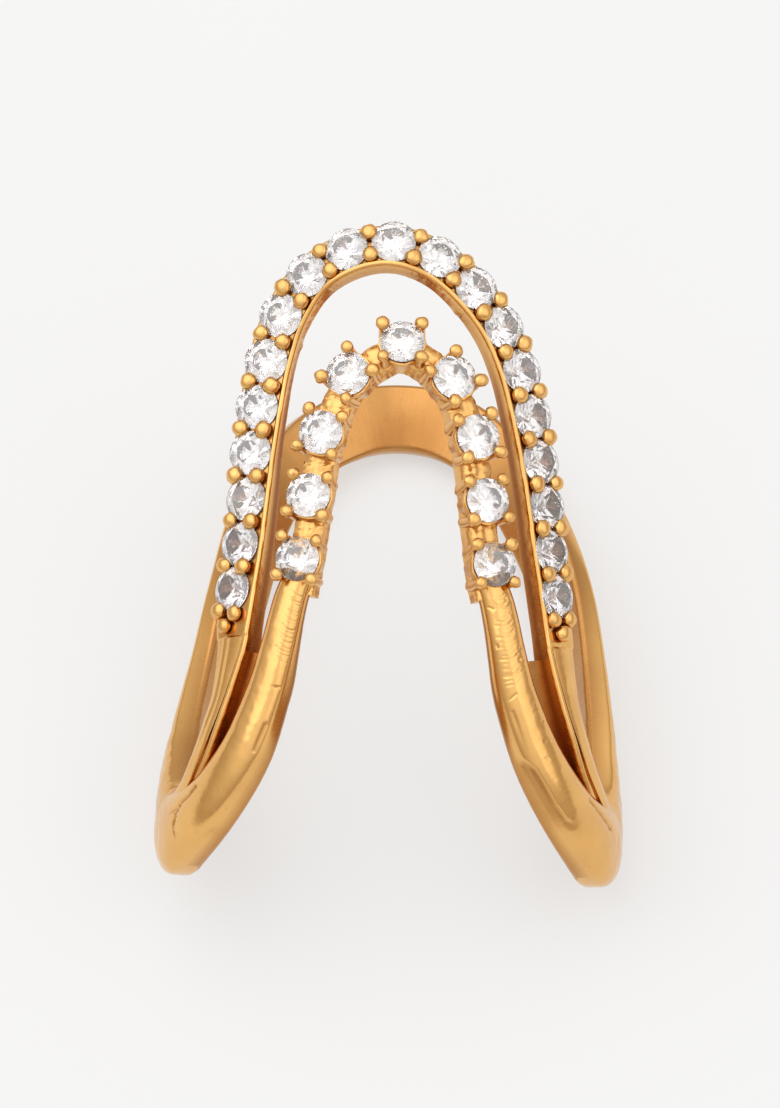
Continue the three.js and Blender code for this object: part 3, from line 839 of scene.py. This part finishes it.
def build_arch(sizes, material):
    places = stations(ARCH_COLUMNS, arch_rows(), "radius", ARCH_STATIONS)
    total = places[-1].run
    rings = []
    for place in places:
        left, height = place.run < total / 2, place.height
        channel = smoothstep(8.8, 8.9, height)
        leg = (1 - channel) * smoothstep(2.2, 4.5, height)
        floor = 0.02 - 0.12 * channel
        crown = 0.2 * (1 - channel)
        rail = 0.02 + 0.12 * smoothstep(3.4, 6.0, height)
        worn = smoothstep(4.5, 6, height) * (1 - smoothstep(8.6, 9, height))
        nick = 0.09 * max(noise.noise(Vector((place.run * 1.7, 0, 0))), 0) * worn if left else 0
        lines = LEFT_LEG_LINES if left else RIGHT_LEG_LINES
        grooves = [(at, wide, deep * leg) for at, wide, deep in lines]
        # Painted shade on the inner wall, strongest low down where it faces the strip.
        dark = 0.3 + 0.6 * (1 - smoothstep(19, 23.5, height))
        ring, marks, recess = [], [], []
        for across, rise in arch_section(place, floor, crown, rail, nick, grooves):
            point = spot(place, 0, across, rise)
            wall = smoothstep(-place.inner + 0.12, -place.inner + 0.02, across)
            wall *= smoothstep(0.0, -0.2, rise)
            push = 0.006 * bump_noise(point, 0.9) + 0.01 * wall * bump_noise(point, 0.3)
            for run, size in ARCH_LUMPS:
                away = (place.run - run) ** 2 + (rise + place.depth * 0.8) ** 2
                push += 0.11 * wall * exp(-away / size**2)
            push *= sizes.hand_marks
            ring.append(spot(place, 0, across - push * wall, rise + push * (1 - wall)))
            marks.append((place.run, across + rise))
            # Painted shade: the inner wall darkens with depth, and the gutter beside the rail
            # darkens along the nicked stretch, more where it is nicked.
            sunk = wall * smoothstep(-0.05, -0.6, rise)
            near = abs(across + place.inner - 0.285) < 0.04 and rise < 0.1
            recess.append(max(sunk * dark, (0.6 + 4 * nick) * worn if near else 0))
        rings.append((ring, marks, recess))
    skin = Skin()
    skin.sweep(rings)
    obj = skin.piece("outer_arch", material)
    cut(obj, seat_cutters(outer_seats(), sizes.stone_diameter / MM / 2 + 0.015, 0.9))
    return obj


def build_webs(sizes, material):
    skin = Skin()
    for side in (-1, 1):
        rows = [(side * a, h, w) for a, h, w in WEB_ROUTE]
        places = stations(WEB_COLUMNS, rows, WEB_RADIUS, WEB_STATIONS)
        rings = []
        for place in places:
            half, deep = place.width / 2, 0.5 + 0.3 * smoothstep(5, 3, place.height)
            section = corner((half - 0.2, -0.2), 0.2, 0, 90, 4) + [(0, -0.03)]
            section += corner((-half + 0.2, -0.2), 0.2, 90, 180, 4)
            section += [(-half, -deep), (half, -deep)]
            ring = []
            for across, rise in section:
                point = spot(place, 0, across, rise)
                push = 0.03 * bump_noise(point, 0.7) * sizes.hand_marks
                ring.append(point + place.face * push)
            marks = [(place.run, across) for across, _ in section]
            # Painted shade: the webs darken toward the foot of the slot.
            recess = [0.55 + 0.4 * smoothstep(7, 3.5, place.height)] * len(ring)
            rings.append((ring, marks, recess))
        skin.sweep(rings)
    return skin.piece("leg_webs", material)


def build_gallery(sizes, material):
    """The rough bar that joins the inner cups from leg to leg, cut clear under each stone."""
    places = stations(SEAT_COLUMNS, INNER_ROUTE, INNER_FACE_RADIUS, GALLERY_STATIONS)
    deep = sizes.cup_depth / MM
    rings = []
    section = [(0.6, -deep + 0.15), (0.6, -0.75), (0.52, -0.6), (0.2, -0.46), (-0.05, -0.5)]
    section += [(-0.3, -0.44), (-0.6, -0.55), (-0.78, -0.7), (-0.84, -0.95)]
    section += [(-0.85, -deep + 0.15), (-0.7, -deep), (-0.1, -deep), (0.45, -deep)]
    dense = []
    for a, b in zip(section, section[1:] + section[:1]):
        dense += [(a[0] + (b[0] - a[0]) * t, a[1] + (b[1] - a[1]) * t) for t in (0, 0.5)]
    for place in places:
        ring = []
        for across, rise in dense:
            point = spot(place, 0, across, rise)
            rough = 0.06 * bump_noise(point, 0.55) + 0.05 * bump_noise(point, 1.3)
            ring.append(spot(place, 0, across * (1 + rough), rise + rough * 0.9))
        rings.append((ring, [(place.run, across) for across, _ in dense], [0.0] * len(ring)))
    skin = Skin()
    skin.sweep(rings)
    obj = skin.piece("gallery_bar", material)
    cut(obj, seat_cutters(inner_seats(), 0.93, 0.84, 0.5))
    return obj


def build_cups(sizes, material):
    """The open cup under each inner stone, with an uneven lip and foot."""
    deep = sizes.cup_depth / MM
    skin = Skin()
    profile = [(0.5, -deep), (0.74, -deep), (0.85, -deep + 0.07), (0.92, -deep + 0.3)]
    profile += [(0.93, -0.85), (1.0, -0.6), (1.08, -0.42), (1.09, -0.3), (1.05, -0.21)]
    profile += [(0.97, -0.19), (0.93, -0.24), (0.5, -0.52), (0.48, -0.9)]
    for i, seat in enumerate(inner_seats()):
        skin.turned(profile, 56, standing(seat), lumpy(0.05, 100 + i))
    return skin.piece("stone_cups", material)


def build_claws(sizes, material):
    """Four claws on each cup, leaning out as they rise, with a small round head over the stone."""
    skin = Skin()
    deep, head = sizes.cup_depth / MM, sizes.claw_head / MM / 2
    rng = np.random.default_rng(5)
    for i, seat in enumerate(inner_seats()):
        for j, (along, across) in enumerate(((-1, -1), (-1, 1), (1, -1), (1, 1))):
            reach, width = 0.86 + rng.uniform(-0.03, 0.03), 0.8 + rng.uniform(-0.03, 0.03)
            grown = rng.uniform(0.92, 1.08)
            profile = [(0, -deep + 0.12), (0.22, -deep + 0.12), (0.27, -deep + 0.3), (0.26, -1.0)]
            profile += [(0.22, -0.5), (0.19, -0.1)]
            profile += dome_profile(0.19, head * grown, -0.1, 0.02, 0.42)[3:]
            bend = lumpy(0.16, 200 + i * 4 + j)

            def lean(x, y, z):
                x, y, z = bend(x, y, z)
                share = 0.1 * min(z, 0.1)
                return x + along * reach * share, y + across * width * share, z

            skin.turned(profile, 20, standing(seat, along * reach, across * width), lean)
    return skin.piece("claws", material, 60)


def build_beads(sizes, material):
    """The beads of the outer arch: a pair between stones, and three beyond each last stone."""
    seats = outer_seats()
    gap = np.linalg.norm(seats[1].point - seats[0].point)
    spots = [(place, 0, side) for place in between(seats) for side in (0.6, -0.5)]
    for seat, way in ((seats[0], -1), (seats[-1], 1)):
        spots += [(seat, way * (gap / 2 + 0.04), side) for side in (0.48, -0.5)]
        spots.append((seat, way * (gap / 2 + 0.66), 0.0))
    head = sizes.bead_diameter / MM / 2
    rng = np.random.default_rng(3)
    skin = Skin()
    for i, (place, along, across) in enumerate(spots):
        grown = rng.uniform(0.93, 1.06)
        profile = dome_profile(0.29, head * grown, -0.35, -0.04, 0.4 * grown)
        shifted = standing(place, along + rng.uniform(-0.02, 0.02), across)
        skin.turned(profile, 24, shifted, lumpy(0.14, 400 + i))
    return skin.piece("beads", material, 60)


# ---- user's values
class RingSizes(bpy.types.PropertyGroup):
    stone_diameter: bpy.props.FloatProperty(
        name="Stone diameter",
        description="Across each round stone at its girdle",
        default=0.002, min=0.001, max=0.003, precision=5, unit="LENGTH",
    )
    bead_diameter: bpy.props.FloatProperty(
        name="Bead diameter",
        description="Across each bead that holds an outer stone",
        default=0.00078, min=0.0003, max=0.001, precision=5, unit="LENGTH",
    )
    claw_head: bpy.props.FloatProperty(
        name="Claw head",
        description="Across the round end of each claw on the inner stones",
        default=0.00062, min=0.0003, max=0.001, precision=5, unit="LENGTH",
    )
    cup_depth: bpy.props.FloatProperty(
        name="Cup depth",
        description="From an inner stone's girdle down to its cup's foot",
        default=0.00165, min=0.001, max=0.002, precision=5, unit="LENGTH",
    )
    hand_marks: bpy.props.FloatProperty(
        name="Hand marks",
        description="How strongly filing and casting leave the metal uneven",
        default=1.0, min=0.0, max=2.0, subtype="FACTOR",
    )


class RingColours(bpy.types.PropertyGroup):
    gold: bpy.props.FloatVectorProperty(
        name="Gold",
        description="The plating where it is bright",
        default=(0.84, 0.485, 0.165), min=0.0, max=1.0, subtype="COLOR",
    )
    # The plating's darker tone, and also the colour of the painted shade in hollows and crevices.
    deep_gold_and_shade: bpy.props.FloatVectorProperty(
        name="Deep gold and shade",
        description="The plating in hollows and worn patches",
        default=(0.29, 0.08, 0.015), min=0.0, max=1.0, subtype="COLOR",
    )
    stone: bpy.props.FloatVectorProperty(
        name="Stone",
        description="The clear stones",
        default=(1, 0.96, 0.935), min=0.0, max=1.0, subtype="COLOR",
    )
    stone_cool: bpy.props.FloatVectorProperty(
        name="Stone, cool",
        description="The cooler drift inside the stones",
        default=(0.95, 0.92, 0.95), min=0.0, max=1.0, subtype="COLOR",
    )
    floor: bpy.props.FloatVectorProperty(
        name="Floor",
        description="The studio floor",
        default=(0.3, 0.3, 0.3), min=0.0, max=1.0, subtype="COLOR",
    )


class RingOperator(bpy.types.Operator):
    bl_options = {"REGISTER", "UNDO"}

    def make_metal(self, context, finish, *builds):
        """Builds pieces that share one finish and stand for the ring's soldered metal."""
        material = gold_finish(finish)
        for build in builds:
            adopt(build(context.scene.ring_sizes, material), "ring_body")
        return {"FINISHED"}


class RING_OT_strip(RingOperator):
    """Builds the strip that is both inner legs, both tips and the shank"""

    bl_idname = "ring.strip"
    bl_label = "Strip and Shank"

    def execute(self, context):
        return self.make_metal(context, "gold_filed", build_strip)


class RING_OT_outer_arch(RingOperator):
    """Builds the outer arch with its rail and legs, and the webs beside them"""

    bl_idname = "ring.outer_arch"
    bl_label = "Outer Arch"

    def execute(self, context):
        return self.make_metal(context, "gold_polished", build_arch, build_webs)


class RING_OT_inner_arch(RingOperator):
    """Builds the inner arch's bar, cups and claws"""

    bl_idname = "ring.inner_arch"
    bl_label = "Inner Arch"

    def execute(self, context):
        return self.make_metal(context, "gold_cast", build_gallery, build_cups, build_claws)


class RING_OT_beads(RingOperator):
    """Builds the beads that hold the outer stones"""

    bl_idname = "ring.beads"
    bl_label = "Beads"

    def execute(self, context):
        return self.make_metal(context, "gold_beads", build_beads)


class RING_OT_outer_stones(RingOperator):
    """Sets the stones of the outer arch"""

    bl_idname = "ring.outer_stones"
    bl_label = "Outer Stones"

    def execute(self, context):
        set_stones(context.scene.ring_sizes, OUTER_STONES, outer_seats())
        return {"FINISHED"}


class RING_OT_inner_stones(RingOperator):
    """Sets the stones of the inner arch"""

    bl_idname = "ring.inner_stones"
    bl_label = "Inner Stones"

    def execute(self, context):
        set_stones(context.scene.ring_sizes, INNER_STONES, inner_seats())
        return {"FINISHED"}


# ---- stage
def floor_piece(colour):
    mesh = bpy.data.meshes.new("studio_floor")
    corners = [(x * 1.2, y * 1.2, 0) for x, y in ((-1, -1), (1, -1), (1, 1), (-1, 1))]
    mesh.from_pydata(corners, [], [(0, 1, 2, 3)])
    material, n, shader = new_material("studio_floor")
    darker = tuple(c * 0.99 for c in colour)
    tint = n.mix(n.ramp(n.noise(30.0), 0.3, 0.7), (*colour, 1), (*darker, 1))
    n.link(tint, shader["Base Color"])
    n.link(tint, shader["Emission Color"])
    shader["Emission Strength"].default_value = FLOOR_GLOW
    shader["Roughness"].default_value = 0.9
    mesh.materials.append(material)
    return new_object("studio_floor", mesh)


def soft_light(name, place, target, size, power):
    light = bpy.data.lights.new(name, "AREA")
    light.shape = "DISK"
    light.size = size
    light.energy = power
    obj = new_object(name, light)
    obj.location = place
    obj.rotation_euler = (target - place).to_track_quat("-Z", "Y").to_euler()


def studio_world():
    """Soft white all round, brightest overhead and dimmer near the floor."""
    world = bpy.data.worlds.new("studio")
    bpy.context.scene.world = world
    world.use_nodes = True
    n = Nodes(world.node_tree)
    where = n.add("ShaderNodeTexCoord").outputs["Generated"]
    height = n.add("ShaderNodeSeparateXYZ", {0: where}).outputs["Z"]
    ramp = n.add("ShaderNodeValToRGB", {0: height})
    low, high = ramp.color_ramp.elements
    low.color, high.color = (0.42, 0.34, 0.27, 1), (1, 1, 1, 1)
    high.position = 0.85
    ramp.color_ramp.elements.new(0.4).color = (0.68, 0.66, 0.63, 1)
    back = world.node_tree.nodes["Background"].inputs
    n.link(ramp.outputs[0], back["Color"])
    back["Strength"].default_value = WORLD_STRENGTH


def front_camera():
    """The camera, square on to the arches and a little towards the tips."""
    dip, roll = radians(CAMERA_DIP), radians(CAMERA_ROLL)
    turn = TO_REST.to_3x3().normalized()
    back = turn @ Vector((0, -cos(dip), -sin(dip)))
    right = turn @ Vector((1, 0, 0))
    up = back.cross(right)
    right, up = right * cos(roll) + up * sin(roll), up * cos(roll) - right * sin(roll)
    target = TO_REST @ Vector(CAMERA_TARGET)
    place = target + back * CAMERA_DISTANCE * MM
    aim = target + (right * CAMERA_AIM[0] + up * CAMERA_AIM[1]) * MM
    back = (place - aim).normalized()
    right = up.cross(back).normalized()
    up = back.cross(right)
    data = bpy.data.cameras.new("camera")
    data.lens = CAMERA_LENS
    data.clip_start = 0.01
    data.clip_end = 10
    camera = new_object("camera", data)
    stance = Matrix((right, up, back)).transposed().to_4x4()
    camera.matrix_world = Matrix.Translation(place) @ stance
    bpy.context.scene.camera = camera


class RING_OT_stage(RingOperator):
    """Lays the floor, sets the soft lights and stands the camera"""

    bl_idname = "ring.stage"
    bl_label = "Stage"

    def execute(self, context):
        floor_piece(context.scene.ring_colours.floor)
        studio_world()
        centre = (Vector(CAD_BOX[0]) + Vector(CAD_BOX[1])) / 2
        soft_light("key", centre + Vector((-0.26, 0.12, 0.6)), centre, 0.9, KEY_POWER)
        soft_light("fill", centre + Vector((0.4, -0.1, 0.4)), centre, 0.6, FILL_POWER)
        front_camera()
        context.scene.view_settings.view_transform = "Standard"
        return {"FINISHED"}


class RING_PT_panel(bpy.types.Panel):
    """Lists the ring's sizes, colours and pieces in the sidebar"""

    bl_label = "Wishbone Ring"
    bl_idname = "RING_PT_panel"
    bl_space_type = "VIEW_3D"
    bl_region_type = "UI"
    bl_category = "Ring"

    def draw(self, context):
        for group in (context.scene.ring_sizes, context.scene.ring_colours):
            box = self.layout.box()
            for name in group.__annotations__:
                box.prop(group, name)
        for operator in OPERATORS:
            self.layout.operator(operator.bl_idname)


OPERATORS = (RING_OT_stage, RING_OT_strip, RING_OT_outer_arch, RING_OT_inner_arch)
OPERATORS += (RING_OT_beads, RING_OT_outer_stones, RING_OT_inner_stones)
CLASSES = (RingSizes, RingColours, *OPERATORS, RING_PT_panel)


def register():
    for cls in CLASSES:
        bpy.utils.register_class(cls)
    bpy.types.Scene.ring_sizes = bpy.props.PointerProperty(type=RingSizes)
    bpy.types.Scene.ring_colours = bpy.props.PointerProperty(type=RingColours)


def unregister():
    del bpy.types.Scene.ring_colours
    del bpy.types.Scene.ring_sizes
    for cls in reversed(CLASSES):
        bpy.utils.unregister_class(cls)


def main():
    """Builds the whole ring."""
    register()
    for operator in OPERATORS:
        group, name = operator.bl_idname.split(".")
        getattr(getattr(bpy.ops, group), name)()


if __name__ == "__main__":
    main()
